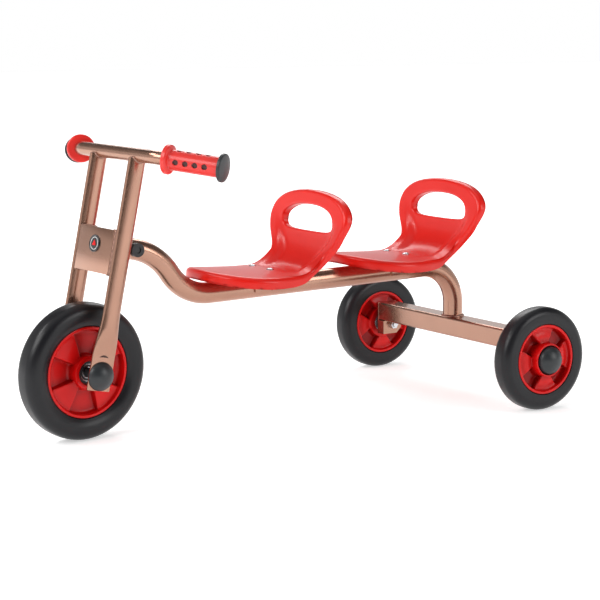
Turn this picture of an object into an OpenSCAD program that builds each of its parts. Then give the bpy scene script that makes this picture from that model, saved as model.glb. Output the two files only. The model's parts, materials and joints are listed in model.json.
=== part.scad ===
// Push tricycle in tandem form: one steered front wheel, two rear wheels, two seats in line on one bent tube.
// +X is the rider's left, -Y is forward, +Z is up, z = 0 is the ground. Millimetres.

/* [Wheels] */
// Distance between the front and rear axles
wheel_base = 667; // [620:1:720]
// Radius of the front tyre
front_r = 100; // [96:1:104]
// Radius of the rear tyres
rear_r = 80; // [78:1:84]
// Distance between the middles of the rear tyres
track = 436; // [420:1:460]
// Width of the front tyre
front_tyre_w = 43; // [38:1:46]
// Width of the rear tyres
rear_tyre_w = 36; // [32:1:40]

/* [Steering] */
// Backward lean of the steering axis from vertical
rake = 12.1; // [8:0.1:15]
// Angle that the fork is turned to the rider's left at rest
rest_steer = 8.2; // [-20:0.1:20]
// Distance between the middles of the fork legs
leg_gap = 98; // [94:1:104]
// Height of the handlebar above the front axle, along the steering axis
bar_height = 317; // [280:1:340]
// Diameter of the handlebar tube
bar_d = 20; // [18:1:22]
// Backward sweep of each handlebar end
bar_sweep = 30; // [0:1:35]

/* [Frame] */
// Diameter of the main beam tube
beam_d = 32; // [28:1:34]
// Height of the beam's middle above the ground under the front seat
beam_z = 196.9; // [185:0.1:205]
// Slope of the beam's straight run, rising towards the rear
beam_rise = 1.1; // [0:0.1:2]
// Depth of the rear axle beam, front to back
axle_beam_depth = 36.5; // [34:0.5:40]
// Height of the rear axle beam
axle_beam_h = 31; // [28:0.5:34]

/* [Seats] */
// Place of the front seat's screws along the beam
front_seat_y = -21.8; // [-40:0.1:0]
// Distance between the two seats
seat_pitch = 252; // [246:1:258]
// Thickness of the moulded seat shell
seat_wall = 5; // [4:0.5:6]
// Depth of the seat's rim flange around the pan
seat_lip = 14.5; // [12:0.5:16]
// Depth of the seat's rim flange in the bend
seat_bend_lip = 10; // [9:0.5:12]
// Depth of the seat's rim flange around the back
seat_back_lip = 13.5; // [12:0.5:16]

/* [Hidden] */
$fn = 64;
rose = [0.74, 0.55, 0.47];
red = [0.88, 0.10, 0.10];
deep_red = [0.75, 0.06, 0.07];
black = [0.13, 0.13, 0.14];
cap_grey = [0.20, 0.22, 0.24];
steel = [0.70, 0.71, 0.73];

// Places of the axles along the trike; the origin is under the middle of its length, and the
// steered front tyre reaches a little less far forward than its radius
steered_loss = 0.6;
rear_y = (wheel_base + front_r - steered_loss - rear_r) / 2;
front_y = rear_y - wheel_base;
wheel_x = track / 2;

// Wall of each steel tube
tube_wall = 2;
plate_t = 4;
bend_swell = 0.05;
bend_bite = 0.6;

// Fork, in its own frame: x across, y back, z up the steering axis, origin at the wheel's middle
leg_x = leg_gap / 2;
leg_w = 28;
leg_t = 15;
leg_in = leg_x - leg_t / 2;
tab_w = 38;
tab_t = 4;
tab_in = 44.5;
tab_out = tab_in + tab_t;
tab_low = -21;
tab_top = 30;
leg_low = 54;
box_low = 143.5;
box_top = 207.5;
cover_front = -14;
cover_t = 3;

// Steering pivot inside the box between the fork legs
shaft_r = 6;
fit = 0.05;
gap = 0.4;
bush_r = 8.2;
bush_flange_t = 2.4;
head_r = 10.4;
head_low = box_low + plate_t + gap + bush_flange_t;
head_top = box_top - plate_t - gap - bush_flange_t;

// Ball bearings: 12 mm bore, 32 mm outside, 10 mm wide
axle_r = 6;
spacer_r = 7.4;
bearing_r = 16;
bearing_w = 10;
race_in = 8.6;
race_out = 13.4;
ball_r = 2.9;
ball_count = 8;
ball_path = (race_in + race_out) / 2;

// Hubs
hub_boss_r = 26.5;
front_boss = 21;
rear_boss = 26;
front_pocket = 15;
rear_pocket = 17;
front_pocket_r = 18;
rear_pocket_r = 22.5;
front_rim_r = 67;
rear_rim_r = 54;
front_rim_half = 15.5;
rear_rim_half = 17;
rim_wall = 5;
web_t = 6;
front_block_turn = 52;
rear_block_turn = 4;

// Nuts, washers and domed caps on the axle ends
front_axle_half = 57.5;
washer_r = 10.9;
washer_t = 2;
nut_af = 19;
nut_h = 8;
front_nut_h = 5.5;
cap_r = 21;
front_cap_h = 13.5;
rear_cap_h = 21;
cap_wall = 2.2;
cap_sleeve_r = 13.2;

// Rear axle brackets and stub axles
beam_under = 86.8;
bracket_x = wheel_x - 28;
bracket_t = 3;
bracket_w = 18;
bracket_low = 64;
stub_r = 4;
stub_nut_af = 13;

// Main beam path in the YZ plane
head_bend_r = 90;
seat_bend_r = 75;
rear_bend_r = 62;
drop_slope = 56;
beam_r = beam_d / 2;
head_join = 184;
axis_dir = [sin(rake), cos(rake)];
swage_back = 38;
swage_front = 5;
swage_w = 17;
beam_start = [front_y, front_r] + head_join * axis_dir + swage_front * [cos(rake), -sin(rake)];
function base_z(y) = beam_z + (y - front_seat_y) * tan(beam_rise);
drop_foot_y = -155.6;
drop_foot = [drop_foot_y, base_z(drop_foot_y)];
head_knee_y = (beam_start.y + beam_start.x * tan(rake) - drop_foot.y - drop_foot.x * tan(drop_slope))
    / (tan(rake) - tan(drop_slope));
head_knee = [head_knee_y, drop_foot.y - (head_knee_y - drop_foot.x) * tan(drop_slope)];
rear_knee = [rear_y, base_z(rear_y)];
axle_beam_top = beam_under + axle_beam_h;
beam_path = [beam_start, head_knee, drop_foot, rear_knee, [rear_y, axle_beam_top]];
beam_radii = [0, head_bend_r, seat_bend_r, rear_bend_r, 0];

// Crown badge and screws
badge_z = 184;
badge_r = 12.5;
screw_depth = 16;

// Steering stops on the beam's sides, placed along the beam's first straight run
stop_v = 44.5;
stop_r = 10;
stop_out = 25;

// Handlebar, with its bends at +-bar_knee; s runs outward from the bend
bar_knee = 96;
bar_bend_r = 45;
bar_end = 97;
grip_r = 14.5;
grip_start = 13;
grip_flange_t = 8;
grip_flange_r = 21;
dimple_r = 4;
dimple_first = 34;
dimple_step = 14.5;
dimple_tilt = 15;
plug_r = 20;
plug_t = 5;
leg_top = 312;

// Seat mounting
seat_rise = 29.3;
screw_x = 26;
seat_plate = [72, 58, 4];
saddle_y = 15;
saddle_w = 14;

// Seat shape. Middle line from the front edge over the pan and up the back, in even steps
seat_line = [[-113.1, 8.3], [-92.9, 6.7], [-72.7, 5.1], [-52.4, 3.4], [-32.2, 1.8], [-11.9, 0.5],
    [8.3, -0.2], [28.6, -0.3], [48.1, 4.8], [64.6, 16.4], [75.9, 33.1], [80.8, 52.7], [83.8, 72.8],
    [86.8, 92.8], [89.8, 112.9]];
seat_length = 284;
// Half outline as [distance along the middle line, half width], from the front to the top
seat_half = [[0, 0], [2, 25], [8, 44], [19, 62], [36, 77], [58, 86], [84, 90], [110, 87], [136, 81],
    [158, 75], [174, 76], [189, 83], [204, 94], [220, 103], [236, 108], [250, 105], [263, 94],
    [274, 73], [281, 42], [284, 0]];
// Handle hole in the back
hole_s = 241;
hole_half_h = 20;
hole_half_w = 70;
seat_crown = 7;
seat_gather = 4;
seat_edge_r = 3;
lip_wall = 3.5;
ring_points = 88;
top_rings = 8;
boss_r = 9;
seat_screw_r = 3;
boss_low = beam_r + seat_plate.z - seat_rise;
seat_nut_h = 5;

// ---------- helpers ----------

// Puts its children in the fork's frame
module in_fork() {
    at_head()
        rotate([0, 0, rest_steer])
            children();
}

// Puts its children in the frame of the steering axis, steered straight ahead
module at_head() {
    translate([0, front_y, front_r])
        rotate([-rake, 0, 0])
            children();
}

// Mirrors its children to the rider's right when side is -1
module on_side(side) {
    mirror([side < 0 ? 1 : 0, 0, 0])
        children();
}

// A cylinder along +X from x0 to x1
module x_cylinder(r, x0, x1) {
    translate([x0, 0, 0])
        rotate([0, 90, 0])
            cylinder(r = r, h = x1 - x0);
}

// A ring along +X
module x_ring(r_out, r_in, x0, x1) {
    difference() {
        x_cylinder(r_out, x0, x1);
        x_cylinder(r_in, x0 - 1, x1 + 1);
    }
}

// A hexagon along +X with two flats level, across flats af
module x_hex(af, x0, x1) {
    translate([x0, 0, 0])
        rotate([0, 90, 0])
            rotate([0, 0, 30])
                cylinder(r = af / sqrt(3), h = x1 - x0, $fn = 6);
}

// A flat-sided oval, w along y and t along x
module oval(w, t) {
    square([t, w - t], center = true);
    for (s = [-1, 1])
        translate([0, s * (w - t) / 2])
            circle(r = t / 2);
}

// A rectangle with round corners
module round_rect(size, r) {
    square([size.x - 2 * r, size.y], center = true);
    square([size.x, size.y - 2 * r], center = true);
    for (sx = [-1, 1], sy = [-1, 1])
        translate([sx * (size.x / 2 - r), sy * (size.y / 2 - r)])
            circle(r = r);
}

function unit(v) = v / norm(v);
function heading(v) = atan2(v.y, v.x);
function turn(a, b) = (heading(b) - heading(a) + 540) % 360 - 180;

// A round rod whose middle follows points in the YZ plane, with a bend of radii[i] at each inner
// point; it runs past both ends by extra. Bends are swollen a hair so straight runs bite into them
module bent_rod(points, radii, r, extra) {
    last = len(points) - 1;
    turns = [for (i = [0:last]) i == 0 || i == last ? 0
        : turn(points[i] - points[i - 1], points[i + 1] - points[i])];
    cuts = [for (i = [0:last]) radii[i] * tan(abs(turns[i]) / 2)];
    for (i = [0:last - 1]) {
        run = points[i + 1] - points[i];
        from = i == 0 ? extra : bend_bite;
        to = i == last - 1 ? extra : bend_bite;
        start = points[i] + unit(run) * (cuts[i] - from);
        translate([0, start.x, start.y])
            rotate([heading(run) - 90, 0, 0])
                cylinder(r = r, h = norm(run) - cuts[i] - cuts[i + 1] + from + to);
    }
    for (i = [1:last - 1]) {
        run = unit(points[i] - points[i - 1]);
        start = points[i] - run * cuts[i];
        translate([0, start.x, start.y])
            rotate([heading(run), 0, 0])
                mirror([0, 0, turns[i] > 0 ? 0 : 1])
                    translate([0, 0, radii[i]])
                        rotate([0, 90, 0])
                            rotate_extrude(angle = abs(turns[i]))
                                translate([radii[i], 0])
                                    circle(r = r + bend_swell);
    }
}

module bent_tube(points, radii, d, wall) {
    difference() {
        bent_rod(points, radii, d / 2, 0);
        bent_rod(points, radii, d / 2 - wall, 1);
    }
}

// ---------- frame ----------

// What is squeezed off both sides of the beam's front end, moved inwards by inset
module squeezed_off(inset) {
    at_head()
        for (side = [-1, 1])
            on_side(side)
                translate([-inset, 0, head_low - 20])
                    linear_extrude(head_top - head_low + 40)
                        polygon([[swage_w / 2, swage_front - 2], [beam_r, swage_back],
                            [beam_d, swage_back], [beam_d, swage_front - 2]]);
}

module main_beam() {
    color(rose)
        difference() {
            bent_rod(beam_path, beam_radii, beam_r, 0);
            squeezed_off(0);
            difference() {
                bent_rod(beam_path, beam_radii, beam_r - tube_wall, 0.1);
                squeezed_off(tube_wall);
            }
            at_head()
                translate([0, 0, head_low])
                    cylinder(r = head_r, h = head_top - head_low);
            stop_screw_holes();
        }
}

module head_tube() {
    color(rose)
        at_head()
            translate([0, 0, head_low])
                    difference() {
                        cylinder(r = head_r, h = head_top - head_low);
                        translate([0, 0, -1])
                            cylinder(r = bush_r, h = head_top - head_low + 2);
                    }
}

// A flanged bush, its flange down, in the steering axis frame with the flange's seat at z = 0
module head_bush() {
    difference() {
        union() {
            translate([0, 0, -bush_flange_t])
                cylinder(r = head_r, h = bush_flange_t);
            cylinder(r = bush_r, h = 16);
        }
        translate([0, 0, -bush_flange_t - 1])
            cylinder(r = shaft_r + fit, h = 20);
    }
}

module lower_head_bush() {
    color(black)
        at_head()
            translate([0, 0, head_low])
                    head_bush();
}

module upper_head_bush() {
    color(black)
        at_head()
            translate([0, 0, head_top])
                    mirror([0, 0, 1])
                        head_bush();
}

module rear_axle_beam() {
    half = bracket_x - bracket_t;
    color(rose)
        translate([-half, rear_y, beam_under + axle_beam_h / 2])
            rotate([90, 0, 90])
                linear_extrude(2 * half)
                    difference() {
                        round_rect([axle_beam_depth, axle_beam_h], 4);
                        round_rect([axle_beam_depth - 5, axle_beam_h - 5], 2);
                    }
}

// Folded bracket that closes the end of the axle beam and carries a stub axle
module axle_bracket(side) {
    inner = bracket_x - bracket_w;
    color(rose)
        on_side(side)
            difference() {
                union() {
                    translate([bracket_x - bracket_t, rear_y, 0])
                        bracket_cheek(axle_beam_top);
                    translate([inner, rear_y, 0])
                        bracket_cheek(beam_under);
                    translate([inner, rear_y - axle_beam_depth / 2, bracket_low])
                        cube([bracket_w, bracket_t, beam_under - bracket_low]);
                }
                translate([0, rear_y, rear_r])
                    x_cylinder(stub_r, inner - 1, bracket_x + 1);
            }
}

// One cheek of the bracket, with its rear lower corner cut back
module bracket_cheek(top) {
    half = axle_beam_depth / 2;
    rotate([90, 0, 90])
        linear_extrude(bracket_t)
            polygon([[-half, bracket_low], [half - 9, bracket_low], [half, bracket_low + 9],
                [half, top], [-half, top]]);
}

// Stub axle: a shouldered pin with a thin threaded end through the bracket
module rear_stub_axle(side) {
    color(steel)
        on_side(side)
            translate([0, rear_y, rear_r]) {
                x_cylinder(stub_r, bracket_x - bracket_w - 11, bracket_x);
                x_cylinder(washer_r, bracket_x, bracket_x + bracket_t);
                x_cylinder(axle_r, bracket_x + bracket_t, wheel_x + rear_pocket + washer_t + nut_h + 4);
            }
}

module rear_stub_nuts() {
    color(steel)
        for (side = [-1, 1])
            on_side(side)
                translate([0, rear_y, rear_r])
                    difference() {
                        x_hex(stub_nut_af, bracket_x - bracket_w - 8, bracket_x - bracket_w);
                        x_cylinder(stub_r, bracket_x - bracket_w - 9, bracket_x - bracket_w + 1);
                    }
}

// ---------- wheels ----------

// Both spacers of one rear axle: shoulder to bearing and bearing to bearing
module rear_axle_spacers() {
    far = rear_pocket - bearing_w;
    color(steel)
        for (side = [-1, 1])
            on_side(side)
                translate([0, rear_y, rear_r]) {
                    x_ring(race_in, axle_r, bracket_x + bracket_t, wheel_x - rear_pocket);
                    x_ring(race_in, axle_r, wheel_x - far, wheel_x + far);
                }
}

module rear_axle_washers() {
    color(steel)
        for (side = [-1, 1])
            on_side(side)
                translate([wheel_x, rear_y, rear_r])
                    x_ring(race_in, axle_r, rear_pocket, rear_pocket + washer_t);
}

module rear_axle_nuts() {
    start = rear_pocket + washer_t;
    color(steel)
        for (side = [-1, 1])
            on_side(side)
                translate([wheel_x, rear_y, rear_r])
                    difference() {
                        x_hex(nut_af, start, start + nut_h);
                        x_cylinder(axle_r, start - 1, start + nut_h + 1);
                    }
}

// A round shell with a domed end, standing on z = 0
module dome(r, height, dome_h) {
    dome_r = (r * r + dome_h * dome_h) / (2 * dome_h);
    cylinder(r = r, h = height - dome_h);
    intersection() {
        translate([0, 0, height - dome_r])
            sphere(r = dome_r);
        translate([0, 0, height - dome_h])
            cylinder(r = r, h = dome_h + 1);
    }
}

// A domed cap along +X, hollow over the axle's nut, with a sleeve that grips the nut's corners
module dome_cap(height) {
    rotate([0, 90, 0])
        difference() {
            dome(cap_r, height, 12);
            difference() {
                translate([0, 0, -1])
                    dome(cap_r - cap_wall, height + 1 - cap_wall, 11);
                difference() {
                    cylinder(r = cap_sleeve_r, h = height);
                    translate([0, 0, -1])
                        cylinder(r = nut_af / sqrt(3), h = height);
                }
            }
        }
}

module rear_cap(side) {
    color(cap_grey)
        on_side(side)
            translate([wheel_x + rear_pocket + washer_t + 1, rear_y, rear_r])
                dome_cap(rear_cap_h);
}

// Two inner races, their outer faces at +-edge
module inner_races(edge) {
    for (s = [-1, 1])
        on_side(s)
            difference() {
                x_ring(race_in, axle_r, edge - bearing_w, edge);
                translate([edge - bearing_w / 2, 0, 0])
                    rotate([0, 90, 0])
                        ball_groove();
            }
}

// Two outer races, their outer faces at +-edge
module outer_races(edge) {
    for (s = [-1, 1])
        on_side(s)
            difference() {
                x_ring(bearing_r, race_out, edge - bearing_w, edge);
                translate([edge - bearing_w / 2, 0, 0])
                    rotate([0, 90, 0])
                        ball_groove();
            }
}

module ball_groove() {
    rotate_extrude()
        translate([ball_path, 0])
            circle(r = ball_r + fit);
}

module bearing_balls(edge) {
    for (s = [-1, 1], i = [0:ball_count - 1])
        rotate([i * 360 / ball_count, 0, 0])
            translate([s * (edge - bearing_w / 2), ball_path, 0])
                sphere(r = ball_r, $fn = 24);
}

// Rubber seals that close both bearings on both faces
module bearing_seals(edge) {
    for (s = [-1, 1])
        on_side(s) {
            x_ring(race_out, race_in + 0.1, edge - 1.2, edge - 0.2);
            x_ring(race_out, race_in + 0.1, edge - bearing_w + 0.2, edge - bearing_w + 1.2);
        }
}

// One hub: rim, web, four raised blocks on each face, and a boss with two bearing seats
module hub(rim_r, rim_half, boss_in, boss_out, pocket, pocket_r, block_turn) {
    rim_in = rim_r - rim_wall;
    difference() {
        union() {
            x_ring(rim_r, rim_in, -rim_half, rim_half);
            x_cylinder(rim_in, -web_t / 2, web_t / 2);
            x_cylinder(hub_boss_r, -boss_in, boss_out);
            for (i = [0:3])
                rotate([block_turn + i * 90, 0, 0])
                    hub_block(rim_in, rim_half - 4);
        }
        for (s = [-1, 1])
            on_side(s) {
                x_cylinder(bearing_r, pocket - bearing_w, boss_out);
                x_cylinder(pocket_r, pocket, boss_out + 1);
            }
        x_cylinder(race_out, -boss_in, boss_out);
    }
}

// A raised wedge between the boss and the rim, as wide at the rim as the pocket beside it
module hub_block(rim_in, half) {
    inner = hub_boss_r - 2;
    translate([-half, 0, 0])
        rotate([0, 90, 0])
            linear_extrude(2 * half)
                intersection() {
                    difference() {
                        circle(r = rim_in + 0.5);
                        circle(r = inner);
                    }
                    polygon([[-inner, 7], [-rim_in - 5, 26], [-rim_in - 5, -26], [-inner, -7]]);
                }
}

// A solid rubber tyre with a rounded crown and sides that fall in to the rim
module tyre(r, w, rim_r, rim_half) {
    side_r = w * 0.36;
    crown_r = w * 0.95;
    belly = r - side_r - 1.2;
    rotate([0, 90, 0])
        rotate_extrude()
            intersection() {
                union() {
                    for (s = [-1, 1])
                        translate([belly, s * (w / 2 - side_r)])
                            circle(r = side_r);
                    polygon([[rim_r, -rim_half], [belly, -w / 2], [belly, w / 2], [rim_r, rim_half]]);
                    translate([belly, side_r - w / 2])
                        square([side_r + 2, w - 2 * side_r]);
                }
                translate([r - crown_r, 0])
                    circle(r = crown_r, $fn = 128);
                translate([rim_r, -w])
                    square([r, 2 * w]);
            }
}

module at_rear_wheel(side) {
    translate([side * wheel_x, rear_y, rear_r])
        children();
}

module rear_wheel_hub(side) {
    color(deep_red)
        at_rear_wheel(side)
            on_side(side)
                hub(rear_rim_r, rear_rim_half, rear_pocket, rear_boss, rear_pocket, rear_pocket_r, rear_block_turn);
}

module rear_wheel_tyre(side) {
    color(black)
        at_rear_wheel(side)
            tyre(rear_r, rear_tyre_w, rear_rim_r, rear_rim_half);
}

module front_hub() {
    color(deep_red)
        in_fork()
            hub(front_rim_r, front_rim_half, front_boss, front_boss, front_pocket, front_pocket_r, front_block_turn);
}

module front_tyre() {
    color(black)
        in_fork()
            tyre(front_r, front_tyre_w, front_rim_r, front_rim_half);
}

// Outer races, balls and seals of the front wheel
module front_wheel_bearings() {
    color(black)
        in_fork() {
            outer_races(front_pocket);
            bearing_balls(front_pocket);
            bearing_seals(front_pocket);
        }
}

module rear_inner_races(side) {
    color(steel)
        at_rear_wheel(side)
            inner_races(rear_pocket);
}

module rear_outer_races(side) {
    color(steel)
        at_rear_wheel(side)
            outer_races(rear_pocket);
}

module rear_bearing_balls(side) {
    color(steel)
        at_rear_wheel(side)
            bearing_balls(rear_pocket);
}

module rear_bearing_seals(side) {
    color(black)
        at_rear_wheel(side)
            bearing_seals(rear_pocket);
}

// ---------- front axle ----------

module front_inner_races() {
    color(steel)
        in_fork()
            inner_races(front_pocket);
}

module front_axle() {
    color(steel)
        in_fork()
            x_cylinder(axle_r, -front_axle_half, front_axle_half);
}

// The spacer between the bearings and the two that reach out to the fork's tabs
module front_axle_spacers() {
    far = front_pocket - bearing_w;
    color(steel)
        in_fork() {
            x_ring(race_in, axle_r, -far, far);
            for (side = [-1, 1])
                on_side(side)
                    x_ring(spacer_r, axle_r, front_pocket, tab_in);
        }
}

// Washer and nut on each end of the front axle
module front_axle_hardware() {
    start = tab_out + washer_t;
    color(steel)
        in_fork()
            for (side = [-1, 1])
                on_side(side) {
                    x_ring(washer_r, axle_r, tab_out, start);
                    difference() {
                        x_hex(nut_af, start, start + front_nut_h);
                        x_cylinder(axle_r, tab_out, start + front_nut_h + 1);
                    }
                }
}

module front_cap(side) {
    color(cap_grey)
        in_fork()
            on_side(side)
                translate([tab_out, 0, 0])
                    dome_cap(front_cap_h);
}

// ---------- fork ----------

// Oval tube leg, pressed flat into a tab at its foot and shaped to the handlebar at its top
module fork_leg(side) {
    color(rose)
        in_fork()
            on_side(side)
                difference() {
                    union() {
                        translate([leg_x, 0, leg_low])
                            linear_extrude(leg_top - leg_low)
                                difference() {
                                    oval(leg_w, leg_t);
                                    oval(leg_w - 2 * tube_wall, leg_t - 2 * tube_wall);
                                }
                        hull() {
                            translate([leg_x, 0, leg_low])
                                linear_extrude(0.1)
                                    oval(leg_w, leg_t);
                            translate([tab_in, -tab_w / 2, tab_top])
                                cube([tab_t, tab_w, 0.1]);
                        }
                        translate([tab_in, 0, (tab_low + tab_top) / 2])
                            rotate([90, 0, 90])
                                linear_extrude(tab_t)
                                    round_rect([tab_w, tab_top - tab_low], 2.5);
                    }
                    x_cylinder(axle_r, 0, leg_gap);
                    translate([0, 0, bar_height])
                        x_cylinder(bar_d / 2, 0, leg_gap);
                }
}

// One plate of the crown with a hole for its countersunk screw; z = 0 is the outer face
module crown_plate() {
    difference() {
        translate([-leg_in, cover_front + cover_t, 0])
            cube([2 * leg_in, 24, plate_t]);
        crown_screw_head();
        translate([0, 0, -1])
            cylinder(r = 4, h = plate_t + 2);
    }
}

module crown_screw_head() {
    cylinder(r1 = 7.6, r2 = 4, h = 3.6);
}

module lower_crown_plate() {
    color(rose)
        in_fork()
            translate([0, 0, box_low])
                crown_plate();
}

module upper_crown_plate() {
    color(rose)
        in_fork()
            translate([0, 0, box_top])
                mirror([0, 0, 1])
                    crown_plate();
}

module crown_cover() {
    color(rose)
        in_fork()
            translate([-leg_in, cover_front, box_low])
                cube([2 * leg_in, cover_t, box_top - box_low]);
}

// Plain round badge with a raised ring and a raised plain triangle
module badge() {
    color(black)
        in_fork()
            translate([0, cover_front, badge_z])
                rotate([90, 0, 0]) {
                    cylinder(r = badge_r, h = 1.2);
                    linear_extrude(2)
                        difference() {
                            circle(r = badge_r);
                            circle(r = badge_r - 2.5);
                        }
                    linear_extrude(1.8)
                        circle(r = 5.5, $fn = 3);
                }
}

// Steering shaft between the crown plates, tapped at both ends
module steering_shaft() {
    low = box_low + plate_t;
    high = box_top - plate_t;
    color(steel)
        in_fork()
            difference() {
                translate([0, 0, low])
                    cylinder(r = shaft_r, h = high - low);
                translate([0, 0, low - 1])
                    cylinder(r = 4, h = screw_depth + 1);
                translate([0, 0, high - screw_depth])
                    cylinder(r = 4, h = screw_depth + 1);
            }
}

// A countersunk screw with a hexagon socket, its head flush with z = 0
module crown_screw() {
    difference() {
        union() {
            crown_screw_head();
            cylinder(r = 4, h = plate_t + screw_depth - 1);
        }
        translate([0, 0, -1])
            cylinder(r = 5 / sqrt(3), h = 3.5, $fn = 6);
    }
}

module crown_screws() {
    color(steel)
        in_fork() {
            translate([0, 0, box_low])
                crown_screw();
            translate([0, 0, box_top])
                mirror([0, 0, 1])
                    crown_screw();
        }
}

// ---------- handlebar ----------

module handlebar() {
    reach = bar_end * [cos(bar_sweep), sin(bar_sweep)];
    path = [[-bar_knee - reach.x, reach.y], [-bar_knee, 0], [bar_knee, 0],
        [bar_knee + reach.x, reach.y]];
    color(rose)
        in_fork()
            translate([0, 0, bar_height])
                rotate([-90, -90, 0])
                    bent_tube(path, [0, bar_bend_r, bar_bend_r, 0], bar_d, tube_wall);
}

// Puts its children at a bend of the handlebar with +X running out along the bar's end
module at_bar_end(side) {
    in_fork()
        on_side(side)
            translate([bar_knee, 0, bar_height])
                rotate([0, 0, bar_sweep])
                    children();
}

// Rubber grip with an inner flange and four rows of round dimples
module grip(side) {
    color(red)
        at_bar_end(side)
            difference() {
                union() {
                    x_cylinder(grip_flange_r, grip_start, grip_start + grip_flange_t);
                    x_cylinder(grip_r, grip_start, bar_end);
                }
                x_cylinder(bar_d / 2, grip_start - 1, bar_end + 1);
                for (row = [0:3], i = [0:3])
                    rotate([row * 90 + dimple_tilt, 0, 0])
                        translate([dimple_first + i * dimple_step, 0, grip_r - 1.5])
                            cylinder(r = dimple_r, h = 2);
            }
}

// Plug with a disc over the end of the bar and a stem inside it
module grip_plug(side) {
    color(cap_grey)
        at_bar_end(side) {
            x_cylinder(plug_r, bar_end, bar_end + plug_t);
            x_cylinder(bar_d / 2 - tube_wall, bar_end - 20, bar_end);
            translate([bar_end + plug_t, 0, 0])
                rotate([0, 90, 0])
                    dome(plug_r - 1.5, 2.4, 2.4);
        }
}

// ---------- steering stops ----------

// Puts its children where the stops' screws cross the beam, with the beam along -Y at this place
module at_stops() {
    at_head()
        translate([0, stop_v, head_join])
            children();
}

module stop_screw_holes() {
    at_stops()
        x_cylinder(2.5, -beam_r - 1, beam_r + 1);
}

// Rubber puck shaped to the beam's side, with a sunk screw hole
module steering_stop(side) {
    color(black)
        at_stops()
            on_side(side)
                difference() {
                    x_cylinder(stop_r, 10, stop_out);
                    rotate([90, 0, 0])
                        translate([0, 0, -2 * stop_r])
                            cylinder(r = beam_r + bend_swell, h = 4 * stop_r);
                    x_cylinder(2.5, 9, stop_out);
                    x_cylinder(4.6, stop_out - 5, stop_out + 1);
                }
}

module stop_screws() {
    color(steel)
        at_stops()
            for (side = [-1, 1])
                on_side(side) {
                    x_cylinder(2.5, 9, stop_out - 4);
                    x_cylinder(4.6, stop_out - 5, stop_out - 2);
                }
}

// ---------- seats ----------

// Puts its children at a seat's screws; z = 0 is the top of the pan, and y runs along the beam
module at_seat(y) {
    translate([0, y, base_z(y)])
        rotate([beam_rise, 0, 0])
            translate([0, 0, seat_rise])
                children();
}

// Plate on top of the beam with two saddles that wrap the tube
module seat_bracket() {
    under = beam_r - seat_rise;
    color(rose)
        difference() {
            union() {
                translate([0, 0, under])
                    linear_extrude(seat_plate.z)
                        round_rect([seat_plate.x, seat_plate.y], 6);
                for (s = [-1, 1])
                    translate([0, s * saddle_y - saddle_w / 2, -seat_rise])
                        saddle();
            }
            for (s = [-1, 1])
                translate([s * screw_x, 0, under - 1])
                    cylinder(r = seat_screw_r, h = seat_plate.z + 2);
        }
}

// A strap around the upper half of the beam
module saddle() {
    intersection() {
        translate([0, saddle_w, 0])
            rotate([90, 0, 0])
                linear_extrude(saddle_w)
                    difference() {
                        circle(r = beam_r + 3);
                        circle(r = beam_r);
                    }
        translate([-beam_d, 0, -5])
            cube([2 * beam_d, saddle_w, beam_r + 5]);
    }
}

// Smooth curve through points p, with t = 1 at p[1]
function curve(p, t) =
    let (i = min(max(floor(t), 1), len(p) - 3), f = t - i, a = p[i - 1], b = p[i], c = p[i + 1],
        d = p[i + 2])
    0.5 * (2 * b + (c - a) * f + (2 * a - 5 * b + 4 * c - d) * f * f + (3 * b - a - 3 * c + d) * f * f * f);

// Middle line of the seat, run on straight past both ends
line_last = len(seat_line) - 1;
line_path = concat([2 * seat_line[0] - seat_line[1]], seat_line,
    [2 * seat_line[line_last] - seat_line[line_last - 1]]);
function line_at(s) = curve(line_path, 1 + s * line_last / seat_length);
function ease(t) = let (c = min(max(t, 0), 1)) c * c * (3 - 2 * c);

// How far the seat's sides stand off its middle line: below it on the pan, above it in the bend
function side_lift(s) =
    seat_gather * ease((s - 135) / 35) * (1 - ease((s - 205) / 45))
    - seat_crown * (1 - ease((s - 140) / 60));
function lip_depth(s) = seat_lip + (seat_bend_lip - seat_lip) * ease((s - 120) / 40)
    + (seat_back_lip - seat_bend_lip) * ease((s - 215) / 40);

// A point of the seat from p = [distance along, across] and its height off the sitting side
function seat_point(p, off) =
    let (here = line_at(p.x), along = unit(line_at(p.x + 0.5) - line_at(p.x - 0.5)),
        lift = off + side_lift(p.x) * pow(p.y / seat_half[6].y, 2))
    [p.y, here.x - along.y * lift, here.y + along.x * lift];

// Outline and handle hole as closed curves of u = 0 to 1, both from the front middle around +x
half_last = len(seat_half) - 1;
half_path = concat([[seat_half[1].x, -seat_half[1].y]], seat_half,
    [[seat_half[half_last - 1].x, -seat_half[half_last - 1].y]]);
function outline(u) =
    let (w = 1 - abs(1 - 2 * u), p = curve(half_path, 1 + w * half_last))
    [p.x, u > 0.5 ? -p.y : p.y];
function squash(v, power) = sign(v) * pow(abs(v), power);
function hole(u) =
    let (a = 360 * u, bow = pow(sin(a), 2))
    [hole_s - hole_half_h * squash(cos(a), 0.7) - 6 * bow, hole_half_w * squash(sin(a), 0.8)];

// Both curves moved sideways by d: the outline inwards, the hole outwards
function normal(ahead, behind) = let (t = unit(ahead - behind)) [t.y, -t.x];
function outline_in(u, d) = outline(u) - d * normal(outline(u - 0.002), outline(u + 0.002));
function hole_out(u, d) = hole(u) + d * normal(hole(u - 0.002), hole(u + 0.002));

// One ring of points around the seat; k = 0 is the edge of the hole, k = 1 the outline, and lips is
// how many lip depths the ring stands below off
function ring(k, inset, off, lips = 0) =
    [for (i = [0:ring_points - 1])
        let (u = (i + 0.5) / ring_points, p = (1 - k) * hole_out(u, inset) + k * outline_in(u, inset))
        seat_point(p, off - lips * lip_depth(p.x))];

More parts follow.
